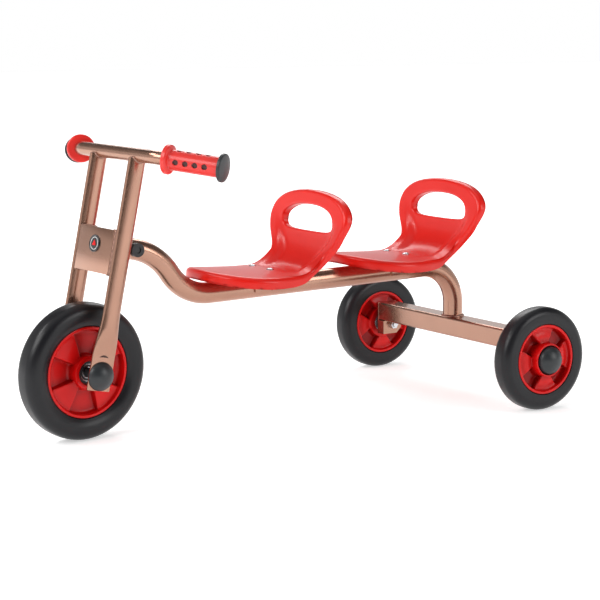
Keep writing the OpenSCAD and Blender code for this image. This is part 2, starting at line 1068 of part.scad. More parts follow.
module seat_shell() {
    e = seat_edge_r;
    rings = concat(
        [for (k = [0:top_rings]) ring(k / top_rings, e, 0)],
        [ring(1, 0.9, -0.9), ring(1, 0, -e), ring(1, 0, 0, 1), ring(1, lip_wall, 0, 1),
            ring(1, lip_wall, -seat_wall)],
        [for (k = [4:-1:1]) ring(k / 5, lip_wall, -seat_wall)],
        [ring(0, lip_wall, -seat_wall), ring(0, lip_wall, 1, 1), ring(0, 0, 1, 1),
            ring(0, 0, -e), ring(0, 0.9, -0.9)]);
    count = len(rings);
    points = [for (r = rings) each r];
    faces = [for (r = [0:count - 1], i = [0:ring_points - 1])
        let (a = r * ring_points, b = (r + 1) % count * ring_points, j = (i + 1) % ring_points)
        each [[a + i, b + j, b + i], [a + i, a + j, b + j]]];
    polyhedron(points = points, faces = faces);
}

// Moulded seat: shell, two bosses down to the bracket, and a flat spot for each screw head
module seat() {
    color(red)
        difference() {
            union() {
                seat_shell();
                for (s = [-1, 1])
                    translate([s * screw_x, 0, boss_low])
                        cylinder(r = boss_r, h = -boss_low - 2);
            }
            for (s = [-1, 1])
                translate([s * screw_x, 0, 0]) {
                    translate([0, 0, boss_low - 1])
                        cylinder(r = seat_screw_r, h = 20);
                    translate([0, 0, -1])
                        cylinder(r = 7, h = 6);
                }
        }
}

// Round-headed screws down through the seat and the bracket
module seat_screws() {
    color(steel)
        for (s = [-1, 1])
            translate([s * screw_x, 0, -1]) {
                difference() {
                    dome(6, 3.2, 2.2);
                    translate([0, 0, 1.4])
                        cylinder(r = 4 / sqrt(3), h = 3, $fn = 6);
                }
                translate([0, 0, -20])
                    cylinder(r = seat_screw_r, h = 20);
            }
}

module seat_nuts() {
    low = beam_r - seat_rise - seat_nut_h;
    color(steel)
        for (s = [-1, 1])
            translate([s * screw_x, 0, low])
                difference() {
                    cylinder(r = 10 / sqrt(3), h = seat_nut_h, $fn = 6);
                    translate([0, 0, -1])
                        cylinder(r = seat_screw_r, h = seat_nut_h + 2);
                }
}

// ---------- the tricycle ----------

rear_seat_y = front_seat_y + seat_pitch;
main_beam();
head_tube();
upper_head_bush();
lower_head_bush();
rear_axle_beam();
axle_bracket(1);  // axle_bracket_left
axle_bracket(-1);  // axle_bracket_right
rear_stub_axle(1);  // rear_stub_axle_left
rear_stub_axle(-1);  // rear_stub_axle_right
rear_stub_nuts();
rear_axle_spacers();
rear_axle_washers();
rear_axle_nuts();
rear_cap(1);  // rear_cap_left
rear_cap(-1);  // rear_cap_right
rear_inner_races(1);  // rear_inner_races_left
rear_inner_races(-1);  // rear_inner_races_right
rear_outer_races(1);  // rear_outer_races_left
rear_outer_races(-1);  // rear_outer_races_right
rear_bearing_balls(1);  // rear_bearing_balls_left
rear_bearing_balls(-1);  // rear_bearing_balls_right
rear_bearing_seals(1);  // rear_bearing_seals_left
rear_bearing_seals(-1);  // rear_bearing_seals_right
rear_wheel_hub(1);  // rear_hub_left
rear_wheel_hub(-1);  // rear_hub_right
rear_wheel_tyre(1);  // rear_tyre_left
rear_wheel_tyre(-1);  // rear_tyre_right
steering_stop(1);  // steering_stop_left
steering_stop(-1);  // steering_stop_right
stop_screws();
at_seat(front_seat_y) seat_bracket();  // seat_bracket_front
at_seat(rear_seat_y) seat_bracket();  // seat_bracket_rear
at_seat(front_seat_y) seat();  // seat_front
at_seat(rear_seat_y) seat();  // seat_rear
at_seat(front_seat_y) seat_screws();  // seat_screws_front
at_seat(rear_seat_y) seat_screws();  // seat_screws_rear
at_seat(front_seat_y) seat_nuts();  // seat_nuts_front
at_seat(rear_seat_y) seat_nuts();  // seat_nuts_rear
fork_leg(1);  // fork_leg_left
fork_leg(-1);  // fork_leg_right
upper_crown_plate();
lower_crown_plate();
crown_cover();
badge();
steering_shaft();
crown_screws();
handlebar();
grip(1);  // grip_left
grip(-1);  // grip_right
grip_plug(1);  // grip_plug_left
grip_plug(-1);  // grip_plug_right
front_axle();
front_axle_spacers();
front_axle_hardware();
front_cap(1);  // front_cap_left
front_cap(-1);  // front_cap_right
front_inner_races();
front_wheel_bearings();
front_hub();
front_tyre();
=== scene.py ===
"""Looks of the tandem push tricycle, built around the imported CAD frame.

Shapes are written in millimetres in local frames (fork, steering head, wheel, seat, ground), and
each frame's matrix turns them into metres in the row frame.
"""

import json
import math

import bmesh
import bpy
import numpy as np
from mathutils import Matrix, Vector


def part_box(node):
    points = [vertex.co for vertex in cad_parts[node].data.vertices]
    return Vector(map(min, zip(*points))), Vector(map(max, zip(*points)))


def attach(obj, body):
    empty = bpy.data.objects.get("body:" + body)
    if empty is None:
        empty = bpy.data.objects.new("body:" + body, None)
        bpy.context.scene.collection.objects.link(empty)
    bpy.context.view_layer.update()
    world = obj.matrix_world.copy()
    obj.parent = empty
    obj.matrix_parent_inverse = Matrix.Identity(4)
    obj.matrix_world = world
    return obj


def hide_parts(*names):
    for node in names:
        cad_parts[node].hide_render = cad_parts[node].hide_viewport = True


MM = 0.001
SIDES = (("left", 1), ("right", -1))

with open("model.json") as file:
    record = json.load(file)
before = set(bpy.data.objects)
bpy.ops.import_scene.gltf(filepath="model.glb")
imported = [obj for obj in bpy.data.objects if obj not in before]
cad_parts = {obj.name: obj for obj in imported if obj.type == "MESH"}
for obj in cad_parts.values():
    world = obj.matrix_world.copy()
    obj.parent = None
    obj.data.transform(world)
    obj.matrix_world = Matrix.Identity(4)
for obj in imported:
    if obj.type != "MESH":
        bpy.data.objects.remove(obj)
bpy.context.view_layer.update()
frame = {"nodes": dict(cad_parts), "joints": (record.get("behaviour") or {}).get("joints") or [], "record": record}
joints = {j["name"]: j for j in frame["joints"]}


# ---------- local frames ----------


def local_frame(origin, x, y, z):
    """Matrix from millimetres along x, y, z at origin to metres in the row frame."""
    turn = Matrix((x, y, z)).transposed().to_4x4()
    return Matrix.Translation(origin) @ turn @ Matrix.Scale(MM, 4)


def extent(node, matrix):
    """Lowest and highest corner of a CAD node in a local frame."""
    back = matrix.inverted()
    points = np.array([back @ v.co for v in frame["nodes"][node].data.vertices])
    return points.min(0), points.max(0)


ACROSS = Vector((1, 0, 0))
wheel_middle = Vector(joints["steering"]["pos_m"])
steer_up = Vector(joints["steering"]["axis"]).normalized()
fork_across = Vector(joints["front_wheel_spin"]["axis"]).normalized()
GROUND = Matrix.Scale(MM, 4)
HEAD = local_frame(wheel_middle, ACROSS, steer_up.cross(ACROSS), steer_up)
FORK = local_frame(wheel_middle, fork_across, steer_up.cross(fork_across), steer_up)


def rear_wheel_frame(side_name, side):
    """Frame at a rear wheel's middle with +X pointing outwards."""
    middle = Vector(joints[f"rear_wheel_{side_name}_spin"]["pos_m"])
    return local_frame(middle, side * ACROSS, Vector((0, 1, 0)), Vector((0, 0, 1)))


def mirrored(matrix, side):
    """The frame mirrored across its own X when side is -1."""
    return matrix @ Matrix.Scale(side, 4, ACROSS)


# ---------- shape helpers ----------


def rounded(points, radii, steps=8):
    """An open line of 2-D points with an arc of radii[i] at each inner point i."""
    line = [Vector(p) for p in points]
    out = [line[0]]
    for before, corner, after, radius in zip(line, line[1:], line[2:], radii[1:]):
        u = (before - corner).normalized()
        v = (after - corner).normalized()
        half = u.angle(v) / 2
        if radius == 0 or half > math.radians(89.9):
            out.append(corner)
            continue
        centre = corner + (u + v).normalized() * (radius / math.sin(half))
        a = corner + u * (radius / math.tan(half)) - centre
        b = corner + v * (radius / math.tan(half)) - centre
        whole = a.angle(b)
        for k in range(steps + 1):
            t = k / steps
            arm = (a * math.sin((1 - t) * whole) + b * math.sin(t * whole)) / math.sin(whole)
            out.append(centre + arm)
    out.append(line[-1])
    return out


def loft(rings, closed=False):
    """Points and faces through rings of equal length; open ends are capped."""
    count = len(rings[0])
    points = [p for ring in rings for p in ring]
    spans = len(rings) if closed else len(rings) - 1
    faces = []
    for k in range(spans):
        a = k * count
        b = (k + 1) % len(rings) * count
        for i in range(count):
            j = (i + 1) % count
            faces.append((a + i, a + j, b + j, b + i))
    if not closed:
        last = (len(rings) - 1) * count
        faces.append(tuple(range(count - 1, -1, -1)))
        faces.append(tuple(last + i for i in range(count)))
    return points, faces


def circle_angles(count):
    return [2 * math.pi * i / count for i in range(count)]


def lathe(profile, count=96, closed=False):
    """Turns a profile of (along X, radius) round the X axis."""
    angles = circle_angles(count)
    rings = [[(x, r * math.cos(a), r * math.sin(a)) for a in angles] for x, r in profile]
    return loft(rings, closed)


def sweep(path, binormal, radius, count=40, shape=None):
    """A rod of circular section along 3-D points; shape(point, k) may change each ring's points."""
    rings = []
    binormal = Vector(binormal)
    for k, point in enumerate(path):
        ahead = path[min(k + 1, len(path) - 1)]
        behind = path[max(k - 1, 0)]
        out = (ahead - behind).normalized().cross(binormal)
        ring = []
        for a in circle_angles(count):
            ring.append(point + radius * (math.cos(a) * binormal + math.sin(a) * out))
        rings.append([shape(p, k) for p in ring] if shape else ring)
    return loft(rings)


def bead(path, radius, count=10, ripple=0.12, pitch=2.4):
    """A closed weld bead along a loop of 3-D points, with the ripples of its runs."""
    rings = []
    length = 0.0
    total = len(path)
    for k, point in enumerate(path):
        ahead = path[(k + 1) % total]
        along = (ahead - path[k - 1]).normalized()
        side = along.cross(Vector((0.31, 0.17, 0.93))).normalized()
        up = side.cross(along)
        size = radius * (1 + ripple * math.sin(2 * math.pi * length / pitch))
        length += (ahead - point).length
        rings.append([point + size * (math.cos(a) * side + math.sin(a) * up)
                      for a in circle_angles(count)])
    return loft(rings, closed=True)


def joined(*parts):
    """Several (points, faces) as one."""
    points = []
    faces = []
    for more_points, more_faces in parts:
        start = len(points)
        points += [tuple(p) for p in more_points]
        faces += [tuple(i + start for i in f) for f in more_faces]
    return points, faces


def moved(part, matrix):
    points, faces = part
    return [matrix @ Vector(p) for p in points], faces


def piece(name, part, matrix, body, materials, stands_for=(), smooth=38, pick=None):
    """Makes one visible piece that rides on a body; pick(face middle) chooses its material."""
    points, faces = part
    mesh = bpy.data.meshes.new(name)
    mesh.from_pydata([Vector(p) for p in points], [], faces)
    for material in materials:
        mesh.materials.append(material)
    if pick:
        mesh.polygons.foreach_set("material_index", [pick(f.center) for f in mesh.polygons])
    mesh.transform(matrix)
    bm = bmesh.new()
    bm.from_mesh(mesh)
    bmesh.ops.recalc_face_normals(bm, faces=bm.faces)
    bm.to_mesh(mesh)
    bm.free()
    mesh.polygons.foreach_set("use_smooth", [True] * len(mesh.polygons))
    mesh.set_sharp_from_angle(angle=math.radians(smooth))
    made = bpy.data.objects.new(name, mesh)
    bpy.context.scene.collection.objects.link(made)
    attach(made, body)
    if stands_for:
        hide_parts(*stands_for)
    return made


# ---------- materials ----------


def painted_crevice_shade(nodes, link, colour, reach):
    """Painted shade: the colour made deeper where the surface is shut in by walls closer than reach, in metres, as
    if shade fell there.
    """
    shut_in = nodes.new("ShaderNodeAmbientOcclusion")
    shut_in.inputs["Distance"].default_value = reach
    depth = nodes.new("ShaderNodeMapRange")
    depth.inputs["From Min"].default_value = 0.35
    depth.inputs["From Max"].default_value = 0.95
    depth.inputs["To Min"].default_value = 0.30
    link(shut_in.outputs["AO"], depth.inputs["Value"])
    painted_shade = nodes.new("ShaderNodeMix")
    painted_shade.data_type = "RGBA"
    painted_shade.blend_type = "MULTIPLY"
    painted_shade.inputs["Factor"].default_value = 1.0
    link(colour, painted_shade.inputs["A"])
    link(depth.outputs["Result"], painted_shade.inputs["B"])
    return painted_shade.outputs["Result"]


def node_material(name, dark, light, rough, metallic=0.0, coat=0.0, mottle=40.0, grain=900.0,
                  bump=0.05, rough_spread=0.08, fleck=0.0, crevice_shade_reach=0.0, shine=0.5):
    """Principled material whose colour, roughness and fine relief vary with noise on the piece; its colour can
    also take painted shade in crevices.
    """
    material = bpy.data.materials.new(name)
    material.use_nodes = True
    nodes = material.node_tree.nodes
    link = material.node_tree.links.new
    shader = nodes["Principled BSDF"]
    shader.inputs["Metallic"].default_value = metallic
    shader.inputs["Specular IOR Level"].default_value = shine
    shader.inputs["Coat Weight"].default_value = coat
    shader.inputs["Coat Roughness"].default_value = 0.08
    place = nodes.new("ShaderNodeTexCoord")
    cloud = nodes.new("ShaderNodeTexNoise")
    cloud.inputs["Scale"].default_value = mottle
    cloud.inputs["Detail"].default_value = 5
    fine = nodes.new("ShaderNodeTexNoise")
    fine.inputs["Scale"].default_value = grain
    fine.inputs["Detail"].default_value = 3
    link(place.outputs["Object"], cloud.inputs["Vector"])
    link(place.outputs["Object"], fine.inputs["Vector"])
    blend = nodes.new("ShaderNodeMix")
    blend.data_type = "RGBA"
    blend.inputs["A"].default_value = (*dark, 1)
    blend.inputs["B"].default_value = (*light, 1)
    amount = nodes.new("ShaderNodeMath")
    amount.operation = "MULTIPLY_ADD"
    amount.inputs[1].default_value = fleck
    link(fine.outputs["Fac"], amount.inputs[0])
    link(cloud.outputs["Fac"], amount.inputs[2])
    link(amount.outputs["Value"], blend.inputs["Factor"])
    colour = blend.outputs["Result"]
    # painted shade deepens the colour in crevices when a reach is given
    if crevice_shade_reach:
        colour = painted_crevice_shade(nodes, link, colour, crevice_shade_reach)
    link(colour, shader.inputs["Base Color"])
    spread = nodes.new("ShaderNodeMapRange")
    spread.inputs["To Min"].default_value = rough - rough_spread / 2
    spread.inputs["To Max"].default_value = rough + rough_spread / 2
    link(cloud.outputs["Fac"], spread.inputs["Value"])
    link(spread.outputs["Result"], shader.inputs["Roughness"])
    relief = nodes.new("ShaderNodeBump")
    relief.inputs["Strength"].default_value = bump
    relief.inputs["Distance"].default_value = 0.0004
    link(fine.outputs["Fac"], relief.inputs["Height"])
    link(relief.outputs["Normal"], shader.inputs["Normal"])
    return material


ROSE = node_material("rose_bronze_coat", (0.35, 0.185, 0.128), (0.44, 0.24, 0.168), 0.25, metallic=0.92,
                     coat=0.35, mottle=25, grain=2600, bump=0.05, rough_spread=0.05, fleck=0.25)
WELD = node_material("coated_weld", (0.27, 0.15, 0.115), (0.40, 0.22, 0.17), 0.34, metallic=0.9,
                     coat=0.2, mottle=300, grain=1500, bump=0.2)
# near-black painted shadow for the dent of the press fold on each fork tab
FOLD_SHADOW = node_material("fold_shade_shadow", (0.05, 0.028, 0.022), (0.09, 0.05, 0.04), 0.5, metallic=0.6,
                     mottle=200, grain=1500, bump=0.1)
SEAT_RED = node_material("seat_gloss_red", (0.70, 0.010, 0.006), (0.78, 0.018, 0.010), 0.30, coat=0.08,
                         mottle=18, grain=700, bump=0.03, rough_spread=0.06, shine=0.3)
# the hub's pockets and corners get painted shade in their colour
HUB_RED = node_material("hub_moulded_red", (0.62, 0.002, 0.002), (0.72, 0.005, 0.005), 0.32, coat=0.1,
                        mottle=30, grain=900, bump=0.04, crevice_shade_reach=0.024, shine=0.2)
GRIP_RED = node_material("grip_soft_red", (0.66, 0.014, 0.010), (0.78, 0.026, 0.018), 0.36, coat=0.15,
                         mottle=60, grain=1800, bump=0.08)
# near-black red painted shade for the floors of the grip's dimples
DIMPLE_SHADE = node_material("grip_dimple_shade", (0.035, 0.008, 0.008), (0.07, 0.014, 0.012), 0.5,
                       mottle=200, grain=1500, bump=0.1)
TYRE = node_material("tyre_solid_rubber", (0.006, 0.006, 0.008), (0.012, 0.012, 0.014), 0.34,
                     mottle=22, grain=1400, bump=0.12, rough_spread=0.12, shine=0.32)
CAP = node_material("cap_dark_plastic", (0.012, 0.015, 0.017), (0.022, 0.026, 0.029), 0.40,
                    mottle=80, grain=1800, bump=0.10)
RUBBER = node_material("black_rubber", (0.012, 0.012, 0.013), (0.022, 0.022, 0.024), 0.55,
                       mottle=90, grain=1600, bump=0.15)
NYLON = node_material("black_nylon", (0.014, 0.014, 0.015), (0.024, 0.024, 0.026), 0.42,
                      mottle=120, grain=2000, bump=0.08)
ZINC = node_material("zinc_plated_steel", (0.52, 0.53, 0.55), (0.68, 0.69, 0.71), 0.26, metallic=1.0,
                     mottle=220, grain=2200, bump=0.05, rough_spread=0.12)
RACE = node_material("ground_bearing_steel", (0.50, 0.51, 0.53), (0.62, 0.63, 0.65), 0.20,
                     metallic=1.0, mottle=300, grain=3000, bump=0.03)
BADGE = node_material("badge_gloss_black", (0.010, 0.010, 0.012), (0.018, 0.018, 0.020), 0.2, coat=0.5,
                      mottle=150, grain=1500, bump=0.03)
BADGE_PALE = node_material("badge_pale_ring", (0.62, 0.60, 0.60), (0.74, 0.72, 0.72), 0.35,
                           mottle=200, grain=1800, bump=0.04)

SLOT_MATERIAL = {"rose_coat": ROSE, "zinc_steel": ZINC, "bearing_steel": RACE, "black_rubber": RUBBER,
                 "tyre_black": TYRE, "grip_red": GRIP_RED, "seat_red": SEAT_RED, "hub_red": HUB_RED,
                 "dark_cap": CAP, "black_nylon": NYLON, "badge_black": BADGE}


def dress_cad_nodes():
    """Gives each CAD node its slot's material, and breaks the edges of the ones that stay shown."""
    for part in frame["record"]["subparts"]:
        node = frame["nodes"][part["node"]]
        node.data.materials.clear()
        blackened = part["node"] in ("stop_screws", "front_wheel_bearings")
        node.data.materials.append(NYLON if blackened else SLOT_MATERIAL[part["material_slot"]])
        node.data.polygons.foreach_set("use_smooth", [True] * len(node.data.polygons))
        weld = node.modifiers.new("weld", "WELD")
        weld.merge_threshold = 0.00001
        bevel = node.modifiers.new("bevel", "BEVEL")
        bevel.width = 0.0005
        bevel.segments = 3
        bevel.limit_method = "ANGLE"
        bevel.angle_limit = math.radians(40)
        bevel.use_clamp_overlap = True
        normals = node.modifiers.new("normals", "WEIGHTED_NORMAL")
        normals.keep_sharp = False


# ---------- seats ----------

# Side view of the seat's middle line (back, up) at even steps along it
SEAT_LINE = [(-113.1, 8.3), (-92.9, 6.7), (-72.7, 5.1), (-52.4, 3.4), (-32.2, 1.8), (-11.9, 0.5),
             (8.3, -0.2), (28.6, -0.3), (48.1, 4.8), (64.6, 16.4), (75.9, 33.1), (80.8, 52.7),
             (83.8, 72.8), (86.8, 92.8), (89.8, 112.9)]
SEAT_LENGTH = 284.0
# Half width of the seat at places along its middle line, from the nose over the bend to the top
SEAT_HALF = [(0, 0), (2, 25), (8, 44), (19, 62), (36, 77), (58, 86), (84, 90), (110, 87), (136, 81),
             (158, 75), (174, 76), (189, 83), (204, 94), (220, 103), (236, 108), (250, 105), (263, 94),
             (274, 73), (281, 42), (284, 0)]
HOLE_S = 241.0
HOLE_HALF_H = 20.0
HOLE_HALF_W = 70.0
HOLE_BOW = 6.0
SEAT_CROWN = 7.0
SEAT_GATHER = 4.0
SEAT_WIDEST = 90.0
SEAT_LIP = 14.5
SEAT_BEND_LIP = 10.0
SEAT_BACK_LIP = 13.5
SEAT_EDGE = 6.5
HOLE_EDGE = 3.5
DISH_DEPTH = 6.0
DISH_RIM = 17.0
SEAT_WALL = 5.0
LIP_WALL = 3.5
SEAT_RINGS = 26
SEAT_AROUND = 240

BOSS_R = 9.0
SCREW_X = 26.0
SEAT_RISE = 29.3
SEAT_Y = -21.8
SEAT_PITCH = 252.0
BEAM_RISE = math.radians(1.1)
BEAM_Z = 196.9


def curve(points, t):
    """Catmull-Rom curve with t = 1 at points[1]."""
    i = min(max(math.floor(t), 1), len(points) - 3)
    f = t - i
    a, b, c, d = (np.array(p, float) for p in points[i - 1:i + 3])
    return 0.5 * (2 * b + (c - a) * f + (2 * a - 5 * b + 4 * c - d) * f * f
                  + (3 * b - a - 3 * c + d) * f ** 3)


def run_on(points):
    """The points with one more at each end, straight on."""
    ends = [np.array(p, float) for p in (points[0], points[1], points[-2], points[-1])]
    return [2 * ends[0] - ends[1], *points, 2 * ends[3] - ends[2]]


def ease(t):
    """Smooth step from 0 to 1."""
    c = min(max(t, 0.0), 1.0)
    return c * c * (3 - 2 * c)


LINE_PATH = run_on(SEAT_LINE)
HALF_PATH = [(SEAT_HALF[1][0], -SEAT_HALF[1][1]), *SEAT_HALF, (SEAT_HALF[-2][0], -SEAT_HALF[-2][1])]


def line_at(s):
    """The point (back, up) of the seat's middle line at length s from the nose."""
    return curve(LINE_PATH, 1 + s * (len(SEAT_LINE) - 1) / SEAT_LENGTH)


def side_lift(s):
    """How far the seat's sides stand off its middle line at the widest place."""
    gather = SEAT_GATHER * ease((s - 135) / 35) * (1 - ease((s - 205) / 45))
    return gather - SEAT_CROWN * (1 - ease((s - 140) / 60))


def lip_depth(s):
    """How far the rim's flange hangs down: deep round the pan and the top, shallow in the bend."""
    bend = (SEAT_BEND_LIP - SEAT_LIP) * ease((s - 120) / 40)
    return SEAT_LIP + bend + (SEAT_BACK_LIP - SEAT_BEND_LIP) * ease((s - 215) / 40)


def half_width(s):
    return float(np.interp(s, [p[0] for p in SEAT_HALF], [p[1] for p in SEAT_HALF]))


def dish(s, across):
    """How deep the bowl between the pan and the lower back is pressed in at a place."""
    along = ease((s - 122) / 34) * (1 - ease((s - 207) / 40))
    return DISH_DEPTH * along * ease((half_width(s) - DISH_RIM - abs(across)) / 22)


def seat_point(s, across, off):
    """A point of the seat s along its middle line, across it, and off its sitting side."""
    here = line_at(s)
    along = line_at(s + 0.5) - line_at(s - 0.5)
    along /= np.linalg.norm(along)
    lift = off - dish(s, across) + side_lift(s) * (across / SEAT_WIDEST) ** 2
    return (across, here[0] - along[1] * lift, here[1] + along[0] * lift)


def outline(u):
    """The seat's outline as (along, across), once round as u goes from 0 to 1."""
    w = 1 - abs(1 - 2 * u)
    p = curve(HALF_PATH, 1 + w * (len(SEAT_HALF) - 1))
    return np.array((p[0], -p[1] if u > 0.5 else p[1]))


def squash(v, power):
    """A sine or cosine raised to a power with its sign kept: below 1 it squares an oval off."""
    return math.copysign(abs(v) ** power, v)


def hole(u):
    """The edge of the hand hole as (along, across), once round as u goes from 0 to 1."""
    a = 2 * math.pi * u
    return np.array((HOLE_S - HOLE_HALF_H * squash(math.cos(a), 0.7) - HOLE_BOW * math.sin(a) ** 2,
                     HOLE_HALF_W * squash(math.sin(a), 0.8)))


def offset_curve(closed, u, distance):
    """A point of the closed curve moved inwards by distance."""
    t = closed(u - 0.002) - closed(u + 0.002)
    t /= np.linalg.norm(t)
    return closed(u) - distance * np.array((t[1], -t[0]))


def seat_ring(k, inset, off, lips=0.0):
    """One ring round the seat; k = 0 is the edge of the hole and k = 1 the outline."""
    ring = []
    for i in range(SEAT_AROUND):
        u = (i + 0.5) / SEAT_AROUND
        inner = offset_curve(hole, u, -inset)
        outer = offset_curve(outline, u, inset)
        s, across = (1 - k) * inner + k * outer
        ring.append(seat_point(s, across, off - lips * lip_depth(s)))
    return ring


def edge_rings(k, radius, steps=8):
    """Rings round the seat's rounded edge, from the sitting side down to the flange."""
    out = []
    for i in range(1, steps + 1):
        a = math.pi / 2 * i / steps
        out.append(seat_ring(k, radius * (1 - math.sin(a)), -radius * (1 - math.cos(a))))
    return out


def lip_rings(k, lower):
    """Rings down the flange's outside, round its foot and up its inside."""
    half = LIP_WALL / 2
    out = [seat_ring(k, 0, lower - 0.5 * half, 1)]
    for i in range(7):
        a = math.pi * i / 6
        out.append(seat_ring(k, half - half * math.cos(a), lower + half * (1 - math.sin(a)) * 0.9, 1))
    return out


def seat_part():
    """The moulded shell: sitting side, outer rim, underside and the hole's rim in turn."""
    top = []
    for i in range(SEAT_RINGS + 1):
        k = i / SEAT_RINGS
        top.append(seat_ring(k, (1 - k) * HOLE_EDGE + k * SEAT_EDGE, 0))
    outer = edge_rings(1, SEAT_EDGE) + lip_rings(1, 0.0) + [seat_ring(1, LIP_WALL, -SEAT_WALL - 2)]
    under = [seat_ring(k / SEAT_RINGS, LIP_WALL, -SEAT_WALL) for k in range(SEAT_RINGS - 1, 0, -1)]
    inner = [seat_ring(0, LIP_WALL, -SEAT_WALL)]
    inner += list(reversed(lip_rings(0, 1.0))) + list(reversed(edge_rings(0, HOLE_EDGE)))
    return loft(top + outer + under + inner, closed=True)


def beam_height(y):
    """Height of the beam's middle in metres under a place y in metres."""
    return (BEAM_Z + (y / MM - SEAT_Y) * math.tan(BEAM_RISE)) * MM


def seat_frame(y_mm):
    along = Vector((0, math.cos(BEAM_RISE), math.sin(BEAM_RISE)))
    up = Vector((0, -math.sin(BEAM_RISE), math.cos(BEAM_RISE)))
    base = Vector((0, y_mm * MM, beam_height(y_mm * MM)))
    return local_frame(base, ACROSS, along, up) @ Matrix.Translation((0, 0, SEAT_RISE))


def make_seats():
    shell = seat_part()
    boss = lathe(rounded([(-9.3, 6), (-9.3, BOSS_R), (-3, BOSS_R)], [0, 0.8, 0]), 48)
    stand = Matrix.Rotation(-math.pi / 2, 4, "Y")
    bosses = [moved(boss, Matrix.Translation((x, 0, 0)) @ stand) for x in (-SCREW_X, SCREW_X)]
    for name, y in (("front", SEAT_Y), ("rear", SEAT_Y + SEAT_PITCH)):
        piece(f"moulded_seat_{name}", joined(shell, *bosses), seat_frame(y), "frame",
              [SEAT_RED], [f"seat_{name}"], smooth=50)


# ---------- wheels ----------


def tyre_profile(radius, width, rim_r, rim_half):
    """Closed (along, radius) profile: bead groove, falling side, round shoulder, shallow crown."""
    half = width / 2
    shoulder = width * 0.36
    line = [(rim_half - 1.2, rim_r), (rim_half + 0.4, rim_r + 1.2), (half, radius - shoulder - 7),
            (half, radius - 0.6), (0, radius)]
    side = rounded(line, [0, 0.8, 26, shoulder, 0], 16)
    other = [Vector((-x, r)) for x, r in reversed(side[:-1])]
    return side + other


def make_tyre(name, node, matrix, body, rim_r, rim_half):
    low, high = extent(node, matrix)
    profile = tyre_profile(high[2], high[0] - low[0], rim_r, rim_half)
    piece(name, lathe(profile, 160, closed=True), matrix, body, [TYRE], [node])


# Cross-section of a wedge's wall: (millimetres past its edge, share of its height left)
WALL_STEPS = [(-1.5, 1.0), (-0.9, 0.97), (-0.4, 0.88), (0.0, 0.72), (0.7, 0.28), (1.1, 0.12),
              (1.7, 0.03), (2.5, 0.0)]
WEDGE_BASE = 24.5
WEDGE_BASE_HALF = 7.0
WEDGE_TIP_HALF = 26.0
RIM_WALL = 5.0
WEB = 3.0
BORE_R = 13.4
SEAL_R = 16.0
FRONT_RIM = (67, 15.5)
FRONT_FACES = ((21, 15, 18), (21, 15, 18))
FRONT_WEDGE_TURN = 52
REAR_RIM = (54, 17)
REAR_FACES = ((26, 17, 22.5), (17, 17, 22.5))
REAR_WEDGE_TURN = 4
RACE_RIM = [(14.9, 11.7), (15.15, 11.9), (15.15, 12.7), (14.9, 12.9), (14.6, 12.3)]


def hub_ring(x_low, x_top, r, rim_in, block_turn):
    """Ring of a hub's face at radius r: x_top on the four wedges and x_low in the pockets."""
    slope = (WEDGE_TIP_HALF - WEDGE_BASE_HALF) / (rim_in + RIM_WALL - WEDGE_BASE)
    half = min((WEDGE_BASE_HALF + (r - WEDGE_BASE) * slope) / r, math.pi / 4 - 4.2 / r)
    half = max(half, 0.16)
    samples = [(half * k / 4, 1.0) for k in range(-3, 4)]
    samples += [(half + mm / r, f) for mm, f in WALL_STEPS]
    rest = math.pi / 2 - 2 * half - 2 * WALL_STEPS[-1][0] / r
    start = half + WALL_STEPS[-1][0] / r
    samples += [(start + rest * k / 8, 0.0) for k in range(1, 8)]
    samples += [(math.pi / 2 - half - mm / r, f) for mm, f in reversed(WALL_STEPS)]
    ring = []
    for q in range(4):
        for angle, f in samples:
            a = angle + q * math.pi / 2 + math.radians(block_turn) + math.pi / 2
            ring.append((x_low + f * (x_top - x_low), r * math.cos(a), r * math.sin(a)))
    return ring


def face_profile(boss, pocket, pocket_r, rim_r, rim_half):
    """(radius, height in a pocket, height on a wedge) from the bearing seat out to the rim."""
    boss_r = pocket_r + (3.2 if pocket_r > 20 else 6.5)
    rim_in = rim_r - RIM_WALL
    top = rim_half - 4
    rows = [(BORE_R, pocket - 10, None), (SEAL_R, pocket - 10, None), (SEAL_R, pocket, None)]
    if boss > pocket:
        rows += [(pocket_r, pocket, None), (pocket_r, boss - 0.8, None), (pocket_r + 0.8, boss, None)]
    else:
        rows += [(pocket_r * 0.9, pocket, None)]
    rows += [(boss_r - 1.2, boss, None), (boss_r - 0.4, boss - 0.3, None), (boss_r, boss - 1.1, None)]
    foot = boss_r + 1.0
    high = min(top + 1.5, boss - 1.6)
    rows += [(foot - 0.5, (WEB + boss) / 2, high + 0.8), (foot + 0.2, WEB + 2.6, high + 0.15),
             (foot + 1.2, WEB + 1.0, high), (foot + 3, WEB + 0.2, high - 0.1), (foot + 5, WEB, high - 0.2)]
    for k in range(1, 8):
        t = k / 8
        r = foot + 5 + (rim_in - 6 - foot - 5) * t
        rows.append((r, WEB, high - 0.2 - (high - 0.2 - top + 1.2) * t * t))
    rows += [(rim_in - 6, WEB, top - 1.2), (rim_in - 3.2, WEB + 0.4, top - 1.3),
             (rim_in - 1.6, WEB + 1.6, top - 1.1), (rim_in - 0.9, WEB + 3.4, top - 0.4),
             (rim_in - 0.2, (WEB + rim_half) / 2 + 1, top + 1.4),
             (rim_in + 0.5, rim_half - 1.2, rim_half - 1.2),
             (rim_in + 0.8, rim_half - 0.4, None), (rim_in + 1.5, rim_half, None),
             (rim_r - 1.3, rim_half, None), (rim_r - 0.4, rim_half - 0.4, None),
             (rim_r, rim_half - 1.3, None)]
    return rows


